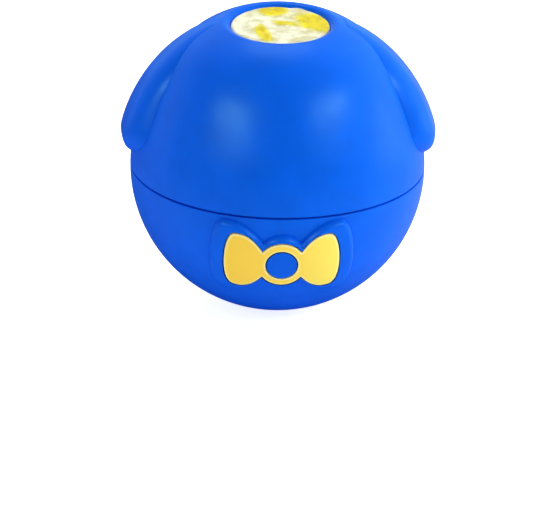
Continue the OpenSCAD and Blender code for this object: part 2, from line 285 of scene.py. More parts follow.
def revolve(name, profile, steps=240):
    """A closed ring or solid of revolution about Z, from a closed outline of (radius, height)."""
    outline = np.array(profile, float)
    turns = np.linspace(0, 2 * math.pi, steps, endpoint=False)
    points = []
    rings = []
    for radius, height in outline:
        if radius < ON_AXIS:
            rings.append([len(points)] * steps)
            points.append((0, 0, height))
            continue
        rings.append(list(range(len(points), len(points) + steps)))
        points += [(radius * math.cos(t), radius * math.sin(t), height) for t in turns]
    faces = []
    for k, ring in enumerate(rings):
        following = rings[(k + 1) % len(rings)]
        for i in range(steps):
            j = (i + 1) % steps
            corners = list(dict.fromkeys([ring[i], ring[j], following[j], following[i]]))
            if len(corners) > 2:
                faces.append(corners)
    return outward(mesh_piece(name, points, faces))


def ringed(name, rings):
    """A closed mesh from a stack of rings of equal length, capped flat at both ends."""
    count = len(rings[0])
    points = [tuple(p) for ring in rings for p in ring]
    faces = [list(range(count)), list(range(len(points) - count, len(points)))]
    for k in range(len(rings) - 1):
        for i in range(count):
            a, b = k * count + i, k * count + (i + 1) % count
            faces.append([a, b, b + count, a + count])
    return outward(mesh_piece(name, points, faces))


def arc(centre, radius, start, end, steps):
    """Points of an arc in the profile's plane, from one angle to another."""
    angles = np.radians(np.linspace(start, end, steps + 1))
    return [(centre[0] + radius * math.cos(a), centre[1] + radius * math.sin(a)) for a in angles]


def patch(name, rows, underside):
    """A closed mesh from a grid of outer points and a grid of points behind it."""
    rows = np.asarray(rows)
    behind = np.asarray(underside)
    count, width, _ = rows.shape
    points = np.concatenate([rows.reshape(-1, 3), behind.reshape(-1, 3)])
    far = count * width
    faces = []
    for i in range(count - 1):
        for j in range(width - 1):
            a = i * width + j
            faces.append([a, a + 1, a + width + 1, a + width])
            faces.append([far + a, far + a + width, far + a + width + 1, far + a + 1])
    for i in range(count - 1):
        for a, step in ((i * width, width), (i * width + width - 1, width)):
            faces.append([a, a + step, far + a + step, far + a])
    for j in range(width - 1):
        for a in (j, (count - 1) * width + j):
            faces.append([a, a + 1, far + a + 1, far + a])
    return outward(mesh_piece(name, points, faces))


# Shapes that follow a formula


def smooth_step(t):
    """Rises from 0 to 1, level at both ends."""
    k = np.clip(t, 0, 1)
    return k * k * (3 - 2 * k)


def shoulder(t):
    """Rises steeply from 0 and rounds off to 1, like a soft edge."""
    k = np.clip(t, 0, 1)
    return (1 - (1 - k) ** 2) ** SHOULDER_POWER


def on_ball(r, polar, turn):
    """A point from its distance, its angle from the top and its turn from the front."""
    p, t = np.radians(polar), np.radians(turn)
    return np.stack([r * np.sin(p) * np.sin(t), -r * np.sin(p) * np.cos(t), r * np.cos(p)], -1)


def distance_to(points, outline, at_once=400):
    """Distance of each flat point to a closed outline."""
    a = outline[None, :, :]
    b = np.roll(outline, -1, 0)[None, :, :]
    found = []
    for chunk in np.array_split(points, max(1, len(points) // at_once)):
        p = chunk[:, None, :]
        along = ((p - a) * (b - a)).sum(-1) / np.maximum(((b - a) ** 2).sum(-1), LEAST_SQUARE)
        nearest = a + np.clip(along, 0, 1)[..., None] * (b - a)
        found.append(np.sqrt(((p - nearest) ** 2).sum(-1)).min(1))
    return np.concatenate(found)


def soft_fall(t):
    """Falls from 1 to 0 with no kink in the curve at either end."""
    k = np.clip(t, 0, 1)
    return 1 - k**3 * (10 - 15 * k + 6 * k * k)


def hood_reach(polar):
    """Distance of the hood's outside from the ball's centre."""
    return BALL_R + LIP_T * soft_fall((polar - LIP_TOP_POLAR) / (LIP_FOOT_POLAR - LIP_TOP_POLAR))


# Hood


def hood_body(steps=109):
    """The upper half as a turned shell, with its relief for the neck."""
    outline = arc((BALL_R - SEAM_ROUND, SEAM_ROUND), SEAM_ROUND, -90, 0, steps=5)
    start = 90 - math.degrees(math.asin(SEAM_ROUND / BALL_R))
    for polar in np.linspace(start, 0, steps + 1)[1:]:
        reach, angle = hood_reach(polar), math.radians(polar)
        outline.append((reach * math.sin(angle), reach * math.cos(angle)))
    outline += arc((0, 0), INNER_R, 90, math.degrees(math.asin(GUIDE_H / INNER_R)), steps=40)
    outline += [(GUIDE_R, GUIDE_H), (GUIDE_R, RELIEF_H), (RELIEF_R, RELIEF_H), (RELIEF_R, 0)]
    return revolve("hood", outline)


def mouth_cutter():
    """The cup's seat, the opening and its rounded edge."""
    centre = (TOP_R + LIP_ROUND, LIP_ROUND_H)
    out = LIP_ROUND + LIP_T
    lean = math.radians(LIP_ROUND_POLAR)
    profile = [(0, 0), (SEAT_R, 0), (SEAT_R, LIP_SEAT_H), (TOP_R, LIP_SEAT_H)]
    profile += arc(centre, LIP_ROUND, 180, 90 - LIP_ROUND_POLAR, steps=16)
    profile += [(centre[0] + out * math.sin(lean), centre[1] + out * math.cos(lean))]
    profile += [(0, centre[1] + out * math.cos(lean))]
    return revolve("mouth_cutter", profile)


def leaf_half(u):
    """Half width of an ear, from its root at 0 to its tip at 1."""
    widening = np.sin(math.pi / 2 * np.clip(u / LEAF_PEAK_SHARE, 0, 1))
    closing = np.clip((u - LEAF_CLOSE_SHARE) / (1 - LEAF_CLOSE_SHARE), 0, 1)
    widened = LEAF_ROOT_SHARE + (1 - LEAF_ROOT_SHARE) * widening
    closed = (1 - closing**LEAF_CLOSE_POWER) ** LEAF_TIP_POWER
    return EAR_W / 2 * np.maximum(widened * closed, LEAF_TIP_SHARE)


def ear(side, rows=110, columns=56):
    """An ear that grows out of the lip and lies on the ball, on the right (side 1) or the left."""
    u = (1 - np.cos(np.linspace(0, math.pi, rows + 1)))[:, None] / 2
    v = np.sin(np.linspace(-math.pi / 2, math.pi / 2, columns + 1))[None, :]
    length = math.radians(EAR_TIP_POLAR - EAR_ROOT_POLAR) * BALL_R
    half = leaf_half(u)
    across = (1 - np.abs(v)) / EAR_CROWN_SHARE
    tip = (1 - u) * length / EAR_TIP_ROUND
    fade = smooth_step((u - EAR_FADE_START_SHARE) / EAR_FADE_SPAN_SHARE)
    power = SHOULDER_POWER + (EAR_FADE_POWER - SHOULDER_POWER) * fade
    crown = (1 - (1 - np.clip(across, 0, 1)) ** 2) ** power
    rise = EAR_T * crown * shoulder(tip) * shoulder(u * length / EAR_ROOT_SLOPE)
    rise[0] = rise[-1] = -EAR_SINK
    rise[:, 0] = rise[:, -1] = -EAR_SINK
    polar = EAR_ROOT_POLAR + (EAR_TIP_POLAR - EAR_ROOT_POLAR) * u + 0 * v
    middle = EAR_ROOT_TURN + (EAR_TIP_TURN - EAR_ROOT_TURN) * u
    turn = middle + np.degrees(half / (BALL_R * np.sin(np.radians(polar)))) * v
    outer = on_ball(BALL_R + rise, polar, turn)
    behind = on_ball(np.full_like(rise, BALL_R - 2 * EAR_SINK), polar, turn)
    outer[..., 0] *= side
    behind[..., 0] *= side
    return patch("ear", outer, behind)


def treat_cutter():
    """The treat hole with its rounded mouth, at the back and leaning down."""
    mouth_r = TREAT_R + TREAT_ROUND
    reach = hood_reach(90 - TREAT_LATITUDE)
    flare = math.sqrt(reach**2 - mouth_r**2) - reach - TREAT_ROUND
    wall = [(0, -TREAT_DEPTH), (TREAT_R, -TREAT_DEPTH)]
    mouth = arc((mouth_r, flare), TREAT_ROUND, 180, 90, steps=12)
    top = flare + TREAT_ROUND + LIP_T
    cutter = revolve("treat_cutter", wall + mouth + [(mouth_r, top), (0, top)], steps=96)
    turn = Matrix.Rotation(math.radians(TREAT_LATITUDE - 90), 4, "X")
    out = Matrix.Translation((0, 0, reach * MM))
    lean = Matrix.Rotation(math.radians(-TREAT_LEAN), 4, "X")
    there, home = Matrix.Translation(BALL_CENTRE), Matrix.Translation(-BALL_CENTRE)
    cutter.data.transform(there @ turn @ out @ lean @ home)
    return cutter


def ridge(name, wall_r, side, start, turns):
    """A helical ridge on the neck (side 1) or inside the hood (side -1)."""
    steps = int(turns * RIDGE_STEPS)
    rows = []
    behind = []
    for i in range(steps + 1):
        turn = 360 * turns * i / steps
        fade = float(smooth_step(min(turn, 360 * turns - turn) / RIDGE_FADE))
        tall = RIDGE_DEPTH * fade - BITE / 2 * (1 - fade)
        rise = start + PITCH * turn / 360
        profile = []
        for k in range(RIDGE_ACROSS + 1):
            s = 2 * k / RIDGE_ACROSS - 1
            flank = smooth_step((1 - abs(s)) / (1 - RIDGE_CREST_W / RIDGE_ROOT_W))
            flank = float(flank) if 0 < k < RIDGE_ACROSS else 0
            reach = -BITE + (tall + BITE) * flank
            profile.append((wall_r + side * reach, rise + s * RIDGE_ROOT_W / 2))
        c, d = math.cos(math.radians(turn)), math.sin(math.radians(turn))
        rows.append([(r * c, r * d, h) for r, h in profile])
        root = wall_r - side * 2 * BITE
        behind.append([(root * c, root * d, h) for _, h in profile])
    return patch(name, rows, behind)


# Base


def base_body():
    """The lower half as a turned shell, with the slot, the ledge, the neck and the tray's step."""
    half_w = math.sqrt(CHANNEL_R**2 - (CHANNEL_R - CHANNEL_DEPTH) ** 2)
    foot = -math.degrees(math.asin(-FLAT_H / BALL_R))
    rim_h = -SEAM_SLOT_H - SEAM_ROUND
    start = math.degrees(math.asin(rim_h / BALL_R))
    step_r = BORE_R - TRAY_STEP
    low = math.degrees(math.asin((CHANNEL_R - CHANNEL_DEPTH) / CHANNEL_R))
    rim_r = BALL_R * math.cos(math.radians(start)) - SEAM_ROUND
    outline = [(BALL_R - SEAM_SLOT_DEPTH, 0), (BALL_R - SEAM_SLOT_DEPTH, -SEAM_SLOT_H)]
    outline += arc((rim_r, rim_h), SEAM_ROUND, 90, 0, steps=5)
    outline += arc((0, 0), BALL_R, start, foot, steps=90)[1:]
    outline += [(0, FLAT_H), (0, -INNER_R)]
    outline += arc((0, 0), INNER_R, -90, -math.degrees(math.asin(DECK_T / INNER_R)), steps=36)[1:]
    outline += [(step_r, -DECK_T), (step_r, TRAY_TOP - TRAY_T), (BORE_R, TRAY_TOP - TRAY_T)]
    outline += arc((BORE_R + NECK_ROUND, NECK_H - NECK_ROUND), NECK_ROUND, 180, 90, steps=12)
    outline += arc((NECK_R - NECK_ROUND, NECK_H - NECK_ROUND), NECK_ROUND, 90, 0, steps=12)
    ledge = (NECK_R + half_w, CHANNEL_R - CHANNEL_DEPTH)
    outline += arc(ledge, CHANNEL_R, 180 + low, 360 - low, steps=14)
    return revolve("base", outline)


def wing_half(x, ends, edges):
    """Half height of the bow's wings, grown at their ends and along their edges."""
    root = RING_W / 2 * WING_ROOT_SHARE
    k = np.clip((np.abs(x) - root) / (BOW_W / 2 + ends - root), 0, 1)
    low, high = PINCH_H / 2 + edges, WING_H / 2 + edges
    opening = np.clip(k / WING_PEAK_SHARE, 0, 1) ** WING_SWELL_POWER
    swell = low + (high - low) * np.sin(math.pi / 2 * opening)
    end = np.clip((k - WING_PEAK_SHARE) / (1 - WING_PEAK_SHARE), 0, 1)
    closing = high * np.sqrt(np.clip(1 - end**WING_END_POWER, 0, 1))
    return np.where(k < WING_PEAK_SHARE, swell, closing)


def ellipse_half(x, wide, tall):
    return tall / 2 * np.sqrt(np.clip(1 - (2 * x / wide) ** 2, 0, 1))


def bow_half(x, grow):
    """Half height of the bow, grown on all sides."""
    ring = ellipse_half(x, RING_W + 2 * grow, RING_H + 2 * grow)
    return np.maximum(wing_half(x, grow, grow), ring)


def pad_half(x):
    """Half height of the pad behind the bow."""
    knot = ellipse_half(x, RING_W + PAD_KNOT, RING_H + 2 * PAD_KNOT)
    return np.maximum(np.maximum(wing_half(x, PAD_END, PAD_EDGE), knot), PAD_TIP_HALF)


def before_bow(x, up, r):
    """Puts a point of the bow's flat drawing straight behind it, r from the ball's centre."""
    depth = np.sqrt(r * r - x * x - up * up)
    across = np.stack([x, 0 * x, 0 * x], -1)
    return across + depth[..., None] * BOW_OUT + up[..., None] * BOW_LIFT


def on_pad(x, up, r):
    """Puts a point of the pad's flat drawing on the ball, and then r from its centre."""
    return before_bow(x, up, BALL_R) * (np.broadcast_to(r, x.shape) / BALL_R)[..., None]


def outline_of(half, reach, steps=240):
    """A closed outline, the same above and below, from its half height."""
    x = reach * np.sin(np.linspace(-math.pi / 2, math.pi / 2, steps + 1))
    tall = half(x)
    top = np.stack([x, tall], -1)
    bottom = np.stack([x[-2:0:-1], -tall[-2:0:-1]], -1)
    return np.concatenate([top, bottom])


def bow_pad(columns=150, rows=64):
    """The raised pad behind the bow, with a rounded edge."""
    reach = BOW_W / 2 + PAD_END
    x = (reach * np.sin(np.linspace(-math.pi / 2, math.pi / 2, columns + 1)))[:, None]
    v = np.sin(np.linspace(-math.pi / 2, math.pi / 2, rows + 1))[None, :]
    up = pad_half(x) * v
    wide = x + 0 * v
    flat = np.stack([wide.ravel(), up.ravel()], -1)
    edge = distance_to(flat, outline_of(pad_half, reach)).reshape(wide.shape)
    rise = PAD_T * shoulder(edge / PAD_ROUND)
    rise[0] = rise[-1] = -PAD_SINK
    rise[:, 0] = rise[:, -1] = -PAD_SINK
    behind = on_pad(wide, up, BALL_R - 2 * PAD_SINK)
    return patch("bow_pad", on_pad(wide, up, BALL_R + rise), behind)


def bow_front(grow, high_r, edge_round, columns=180, rows=24, oval_steps=160):
    """The bow's front round its oval hole; edge_mm is each point's distance from the edge."""
    reach = BOW_W / 2 + grow
    oval_w, oval_h = OVAL_W / 2 - grow, OVAL_H / 2 - grow
    turns = np.linspace(0, 2 * math.pi, oval_steps, endpoint=False)
    oval = np.stack([oval_w * np.cos(turns), oval_h * np.sin(turns)], -1)
    outline = outline_of(lambda x: bow_half(x, grow), reach)
    x = reach * np.sin(np.linspace(-math.pi / 2, math.pi / 2, columns + 1))
    x = np.sort(np.concatenate([x, oval_w * np.array([-1, 1])]))[:, None]
    s = (1 - np.cos(np.linspace(0, math.pi, rows + 1)))[None, :] / 2
    inner = ellipse_half(x, OVAL_W - 2 * grow, OVAL_H - 2 * grow)
    band = inner + (bow_half(x, grow) - inner) * s
    made = bmesh.new()
    mark = made.verts.layers.float.new("edge_mm")
    width = rows + 1
    for side in (1, -1):
        up = band * side
        wide = x + 0 * up
        flat = np.stack([wide.ravel(), up.ravel()], -1)
        edge = np.minimum(distance_to(flat, outline), distance_to(flat, oval))
        r = np.full(edge.shape, high_r)
        if edge_round:
            r -= edge_round * (1 - shoulder(edge / edge_round))
        verts = [made.verts.new(p) for p in place(before_bow(flat[:, 0], flat[:, 1], r))]
        for vert, value in zip(verts, edge):
            vert[mark] = float(value)
        for i in range(len(x) - 1):
            for j in range(rows):
                a = i * width + j
                corners = [verts[a], verts[a + 1], verts[a + width + 1], verts[a + width]]
                made.faces.new(corners if side > 0 else corners[::-1])
    return made


def bow_solid(name, grow, low_r, high_r, edge_round=0.0):
    """The bow's outline with its oval hole as a closed shell between two distances."""
    made = bow_front(grow, high_r, edge_round)
    bmesh.ops.remove_doubles(made, verts=made.verts, dist=MERGE_GAP * MM)
    bmesh.ops.dissolve_degenerate(made, edges=made.edges, dist=SLIVER_W * MM)
    grown = bmesh.ops.extrude_face_region(made, geom=list(made.faces))
    out = Vector(BOW_OUT)
    for vert in grown["geom"]:
        if isinstance(vert, bmesh.types.BMVert):
            spot = vert.co - BALL_CENTRE
            flat = spot - out * spot.dot(out)
            vert.co = BALL_CENTRE + flat + out * math.sqrt((low_r * MM) ** 2 - flat.length_squared)
    bmesh.ops.recalc_face_normals(made, faces=made.faces)
    mesh = bpy.data.meshes.new(name)
    made.to_mesh(mesh)
    made.free()
    return new_piece(name, mesh)


def mark_painted_groove_shade(piece, low_r, high_r):
    """Marks the faces of the bow's pocket for painted shade, so that its rim reads as a dark line."""
    mesh = piece.data
    spots = np.empty(3 * len(mesh.polygons), np.float32)
    mesh.polygons.foreach_get("center", spots)
    spots = (spots.reshape(-1, 3) - (0, 0, SEAM_Z)) / MM
    away = np.linalg.norm(spots, axis=1)
    inside = np.abs(spots @ BOW_LIFT) < bow_half(spots[:, 0], INLAY_GAP) + GROOVE_SLACK
    inside &= spots @ BOW_OUT > 0
    inside &= (away > low_r - GROOVE_SLACK) & (away < high_r - GROOVE_SLACK)
    mark = mesh.attributes.new("painted_groove_shade", "FLOAT", "FACE")
    mark.data.foreach_set("value", inside.astype(np.float32))


# Lick tray and food


def drop(turn, base_h, samples=96, layers=14):
    """A raised drop of the tray: round end outwards, pointed end towards the middle."""
    wide_r, tip_r = DROP_W / 2, DROP_TIP_W / 2
    wide_x, tip_x = DROP_START + DROP_L - wide_r, DROP_START + tip_r
    lean = math.asin((wide_r - tip_r) / (wide_x - tip_x))
    angle = np.linspace(-math.pi, math.pi, samples, endpoint=False)
    wide = np.abs(angle) < math.pi / 2 + lean
    spine = np.where(wide, wide_x, tip_x)
    reach = np.where(wide, wide_r, tip_r)
    c, d = math.cos(math.radians(turn)), math.sin(math.radians(turn))
    rings = []
    for k in range(layers + 1):
        share = 1 - (k / layers) ** 2 * DROP_RINGED_SHARE
        high = DROP_H * math.sqrt(1 - share**DROP_DOME_POWER) if k else -BITE
        x = spine + reach * share * np.cos(angle)
        y = reach * share * np.sin(angle)
        rings.append(np.stack([c * x - d * y, d * x + c * y, np.full(samples, base_h + high)], -1))
    return ringed("drop", rings)


def tray_body():
    """The disc in the neck, with its ring of raised drops."""
    bottom = TRAY_TOP - TRAY_T
    tray = revolve("tray", [(0, bottom), (TRAY_R, bottom), (TRAY_R, TRAY_TOP), (0, TRAY_TOP)])
    for k in range(DROP_COUNT):
        combine(tray, drop(90 + 360 * k / DROP_COUNT, TRAY_TOP), "UNION")
    return tray


def lumps(x, y, seed, count, reach, size, height):
    """A field of soft random lumps over a disc."""
    random = np.random.default_rng(seed)
    field = np.zeros_like(x)
    for _ in range(count):
        cx, cy = random.uniform(-reach, reach, 2)
        wide = size * random.uniform(*LUMP_SIZE_SHARES)
        lump = np.exp(-((x - cx) ** 2 + (y - cy) ** 2) / (2 * wide**2))
        field += random.uniform(-1, 1) * height * lump
    return field


def paste(name, radius, low, high, field, fruit, rings=120, samples=300):
    """A disc of soft food: field gives its unevenness and fruit its share of yellow, from 0 to 1."""
    shares = np.sin(np.linspace(math.pi / 2, FOOD_CORE_SHARE, rings + 1))
    turns = np.linspace(0, 2 * math.pi, samples, endpoint=False)
    stack = [np.stack([radius * np.cos(turns), radius * np.sin(turns), np.full(samples, low)], -1)]
    for share in shares:
        x, y = radius * share * np.cos(turns), radius * share * np.sin(turns)
        inset = (1 - share) * radius
        fall = FOOD_ROUND * (1 - shoulder(inset / FOOD_ROUND))
        rise = field(x, y) * shoulder(inset / FOOD_LEVEL_W)
        stack.append(np.stack([x, y, high - fall + rise], -1))
    piece = ringed(name, stack)
    spots = np.concatenate(stack)
    away = np.hypot(spots[:, 0], spots[:, 1]) / radius
    inside = 1 - smooth_step((away - FOOD_RIM_SHARE) / (1 - FOOD_RIM_SHARE))
    yellow = FRUIT_LEAST_SHARE + (1 - FRUIT_LEAST_SHARE) * fruit(spots[:, 0], spots[:, 1])
    mark = piece.data.attributes.new("fruit", "FLOAT", "POINT")
    mark.data.foreach_set("value", (yellow * inside).astype(np.float32))
    return piece


def blob(x, y, cx, cy, wide, deep, turn):
    """One soft-edged oval patch of fruit."""
    c, d = math.cos(math.radians(turn)), math.sin(math.radians(turn))
    along, across = (x - cx) * c + (y - cy) * d, (y - cy) * c - (x - cx) * d
    return np.exp(-(((along / wide) ** 2 + (across / deep) ** 2) ** 2))


def cup_fruit(x, y):
    """Share of fruit in the cup: a few patches with an uneven outline."""
    bent_x, bent_y = (v + lumps(x, y, seed, *BEND_LUMPS) for v, seed in zip((x, y), BEND_SEEDS))
    share = np.zeros_like(x)
    for strength, *oval in CUP_PATCHES:
        share += strength * blob(bent_x, bent_y, *oval)
    return np.clip(share, 0, 1)


def cup_food():
    def field(x, y):
        return lumps(x, y, CUP_SEED, *CUP_LUMPS) + CUP_FRUIT_RISE * cup_fruit(x, y)

    return paste("cup_food", FOOD_R, CUP_FLOOR_H, LIP_TOP_H - FOOD_DEPTH, field, cup_fruit)


def tray_fruit(x, y):
    """Share of fruit on the tray: many small patches."""
    random = np.random.default_rng(TRAY_PATCH_SEED)
    share = np.zeros_like(x)
    for _ in range(TRAY_PATCHES):
        away = TRAY_FOOD_R * math.sqrt(random.uniform(*TRAY_PATCH_SHARES))
        turn = random.uniform(0, 2 * math.pi)
        wide = random.uniform(*TRAY_PATCH_L)
        deep = random.uniform(*TRAY_PATCH_W)
        lean = random.uniform(0, 180)
        share += blob(x, y, away * math.cos(turn), away * math.sin(turn), wide, deep, lean)
    return np.clip(share, 0, 1)


def tray_food():
    def field(x, y):
        return lumps(x, y, TRAY_SEED, *TRAY_LUMPS) + TRAY_FRUIT_RISE * tray_fruit(x, y)

    top = TRAY_TOP + TRAY_FOOD_H
    return paste("tray_food", TRAY_FOOD_R, TRAY_TOP - BITE, top, field, tray_fruit)


# Material tools; colours are linear


def attach(tree, value, socket):
    """Links a socket to another, or gives it a plain value."""
    if isinstance(value, bpy.types.NodeSocket):
        tree.links.new(value, socket)
    else:
        socket.default_value = value


def node(tree, kind, **values):
    made = tree.nodes.new(kind)
    for key, value in values.items():
        attach(tree, value, made.inputs[key])
    return made


def material(name, colour, roughness, specular):
    made = bpy.data.materials.new(name)
    made.use_nodes = True
    shader = made.node_tree.nodes["Principled BSDF"]
    shader.inputs["Base Color"].default_value = (*colour, 1)
    shader.inputs["Roughness"].default_value = roughness
    shader.inputs["Specular IOR Level"].default_value = specular
    return made, made.node_tree, shader


def noise(tree, scale, detail):
    where = tree.nodes.new("ShaderNodeTexCoord")
    made = node(tree, "ShaderNodeTexNoise", Scale=scale, Detail=detail, Vector=where.outputs["Object"])
    return made.outputs["Fac"]


def grey(value):
    return (value, value, value)


def ramp(tree, source, stops):
    """Turns a number into a colour, by a list of places and colours."""
    made = node(tree, "ShaderNodeValToRGB", Fac=source)
    entries = made.color_ramp.elements
    while len(entries) < len(stops):
        entries.new(1.0)
    for entry, (position, colour) in zip(entries, stops):
        entry.position = position
        entry.color = (*colour, 1)
    return made.outputs["Color"]


def attribute(tree, name):
    made = tree.nodes.new("ShaderNodeAttribute")
    made.attribute_name = name
    return made.outputs["Fac"]


def blend(tree, factor, first, second, mode="MIX"):
    made = tree.nodes.new("ShaderNodeMix")
    made.data_type = "RGBA"
    made.blend_type = mode
    attach(tree, factor, made.inputs["Factor"])
    attach(tree, first, made.inputs["A"])
    attach(tree, second, made.inputs["B"])
    return made.outputs["Result"]


def map_range(tree, source, span, result=(0.0, 1.0), interpolation="LINEAR"):
    """Maps a number from one span to another and holds it at the ends."""
    made = tree.nodes.new("ShaderNodeMapRange")
    made.interpolation_type = interpolation
    keys = ("Value", "From Min", "From Max", "To Min", "To Max")
    for key, value in zip(keys, (source, *span, *result)):
        attach(tree, value, made.inputs[key])
    return made.outputs["Result"]


def across_object(tree, span, result=(0.0, 1.0)):
    """Maps the place from left to right on an object."""
    where = tree.nodes.new("ShaderNodeTexCoord")
    split = node(tree, "ShaderNodeSeparateXYZ", Vector=where.outputs["Object"])
    return map_range(tree, split.outputs["X"], span, result)


def calculate(tree, operation, first, second):
    made = tree.nodes.new("ShaderNodeMath")
    made.operation = operation
    attach(tree, first, made.inputs[0])
    attach(tree, second, made.inputs[1])
    return made.outputs["Value"]


def bumped(tree, height, strength, distance):
    return node(tree, "ShaderNodeBump", Strength=strength, Distance=distance, Height=height)


def dress(piece, look, body=None):
    """Gives a piece its material and, where they are named and its body."""
    piece.data.materials.clear()
    piece.data.materials.append(look)
    if body:
        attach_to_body(piece, body)
    return piece


# Materials

SHEEN = 0.17
SHEEN_TINT = (0.36, 1.0, 1.0, 1.0)
NOISE_SPAN = (0.3, 0.7)
RUBBER_ROUGHNESS = 0.31
RUBBER_DULLER = 0.04
RUBBER_GLOSSIER = 0.03
MOTTLE_SHARES = (0.93, 1.05)
BLUE_COLOUR = (0.0006, 0.112, 0.83)
DEEP_BLUE_COLOUR = (0.0008, 0.085, 0.62)
GRAIN_DEPTH = 0.04 * MM
WAVE_DEPTH = 0.3 * MM

INLAY_COLOUR = (0.94, 0.62, 0.08)
INLAY_ROUGHNESS = 0.4
# Yellow from left to right: partly the inlay's print, partly painted light from the right that makes
# that side paler lemon
INLAY_SIDE_LIGHT_TONES = [(0.0, (1.0, 0.66, 0.065)), (0.45, (1.0, 0.68, 0.08)), (1.0, (0.96, 0.80, 0.13))]
# Painted highlight along the inlay's rounded edge: its colour, and how it fades with the distance from
# the edge in millimetres
INLAY_EDGE_HIGHLIGHT_COLOUR = (1.0, 0.85, 0.34, 1)
INLAY_EDGE_HIGHLIGHT = [(0.35, grey(1.0)), (0.7, grey(0.0))]

FOOD_COLOUR = (0.88, 0.85, 0.66)
FOOD_ROUGHNESS = 0.42
FOOD_SHEEN = 0.16
FOOD_TONES = [
    (0.0, (0.95, 0.97, 0.95)),
    (0.12, (0.86, 0.83, 0.60)),
    (0.4, (0.84, 0.74, 0.16)),
    (0.65, (0.88, 0.77, 0.006)),
    (1.0, (0.82, 0.65, 0.004)),
]
FOOD_CLOUDS = [(0.38, (0.76, 0.71, 0.52)), (0.6, (1.0, 1.0, 1.0))]
FOOD_GRAIN_DEPTH = 0.2 * MM


def rubber(name, colour):
    """Smooth satin rubber: faint mottling, a fine moulded grain, a slow waviness and painted shade in
    the bow's pocket.
    """
    made, tree, shader = material(name, colour, RUBBER_ROUGHNESS, SHEEN)
    shader.inputs["Specular Tint"].default_value = SHEEN_TINT
    tones = [tuple(min(1, c * share) for c in colour) for share in MOTTLE_SHARES]
    tone = ramp(tree, noise(tree, scale=90, detail=4), list(zip(NOISE_SPAN, tones)))
    # Painted shade: the pocket's faces darkened, so the inlay's outline reads as a dark line
    shaded = (*(c * GROOVE_SHADE_SHARE for c in colour), 1)
    attach(tree, blend(tree, attribute(tree, "painted_groove_shade"), tone, shaded), shader.inputs["Base Color"])
    levels = [grey(RUBBER_ROUGHNESS - RUBBER_GLOSSIER), grey(RUBBER_ROUGHNESS + RUBBER_DULLER)]
    uneven = ramp(tree, noise(tree, scale=240, detail=5), list(zip(NOISE_SPAN, levels)))
    attach(tree, uneven, shader.inputs["Roughness"])
    slow = bumped(tree, noise(tree, scale=60, detail=1), strength=0.12, distance=WAVE_DEPTH)
    fine = bumped(tree, noise(tree, scale=2600, detail=2), strength=0.10, distance=GRAIN_DEPTH)
    attach(tree, slow.outputs["Normal"], fine.inputs["Normal"])
    attach(tree, fine.outputs["Normal"], shader.inputs["Normal"])
    return made


def inlay_yellow():
    """Warm yellow that turns lemon to the right, partly its print and partly painted light from that
    side, with a pale painted highlight along its edge all round.
    """
    made, tree, shader = material("yellow_inlay", INLAY_COLOUR, INLAY_ROUGHNESS, SHEEN)
    # Painted light: the yellow turns paler lemon towards the right
    across = across_object(tree, (-BOW_W / 2 * MM, BOW_W / 2 * MM))
    # Painted highlight: a pale band along the inlay's edge
    pale = ramp(tree, attribute(tree, "edge_mm"), INLAY_EDGE_HIGHLIGHT)
    colour = blend(tree, pale, ramp(tree, across, INLAY_SIDE_LIGHT_TONES), INLAY_EDGE_HIGHLIGHT_COLOUR)
    attach(tree, colour, shader.inputs["Base Color"])
    return made


def soft_food():
    """Cream paste with pieces of yellow fruit."""
    made, tree, shader = material("soft_food", FOOD_COLOUR, FOOD_ROUGHNESS, FOOD_SHEEN)
    tone = ramp(tree, attribute(tree, "fruit"), FOOD_TONES)
    clouds = ramp(tree, noise(tree, scale=300, detail=5), FOOD_CLOUDS)
    attach(tree, blend(tree, 1.0, tone, clouds, "MULTIPLY"), shader.inputs["Base Color"])
    bump = bumped(tree, noise(tree, scale=900, detail=3), strength=0.35, distance=FOOD_GRAIN_DEPTH)
    attach(tree, bump.outputs["Normal"], shader.inputs["Normal"])
    return made


BLUE = rubber("blue_rubber", BLUE_COLOUR)
DEEP_BLUE = rubber("deep_blue_rubber", DEEP_BLUE_COLOUR)
YELLOW = inlay_yellow()
FOOD = soft_food()


# The pieces

hood = hood_body()
for side in (1, -1):
    combine(hood, ear(side), "UNION")
combine(hood, mouth_cutter(), "DIFFERENCE")
combine(hood, treat_cutter(), "DIFFERENCE")
combine(hood, ridge("hood_ridge", RELIEF_R, -1, RIDGE_START + PITCH / 2, HOOD_TURNS), "UNION")
smooth(hood)
dress(hood, BLUE, "hood")
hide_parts("hood_shell")

pad_high = BALL_R + PAD_T
inlay_high = pad_high + INLAY_PROUD
inlay_low = inlay_high - INLAY_T
base = base_body()
combine(base, bow_pad(), "UNION")
combine(base, bow_solid("pocket", INLAY_GAP, inlay_low, inlay_high + OVER), "DIFFERENCE")
combine(base, ridge("neck_ridge", NECK_R, 1, RIDGE_START, NECK_TURNS), "UNION")
smooth(base)
mark_painted_groove_shade(base, inlay_low, pad_high)
dress(base, BLUE, "base")
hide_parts("base_shell")

bow = bow_solid("bow", 0, inlay_low, inlay_high, INLAY_ROUND)
smooth(bow, INLAY_CREASE)
dress(bow, YELLOW, "base")
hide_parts("bow_inlay")

dress(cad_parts["lick_cup"], BLUE)

tray = tray_body()
smooth(tray)
dress(tray, DEEP_BLUE, "base")
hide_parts("lick_tray")

dress(smooth(cup_food(), FOOD_CREASE), FOOD, body="cup")
dress(smooth(tray_food(), FOOD_CREASE), FOOD, body="base")


# Camera; FRAME and CENTRE are pixels of the photo, and PX is the size of one on the ball

PX = 0.326 * MM
FRAME_W, FRAME_H = 533, 506
CENTRE_X, CENTRE_Y = 277.4, 163.0
ELEVATION = 22.0
AZIMUTH = -2.6
ROLL = 1.2
CAMERA_FAR = 1.2

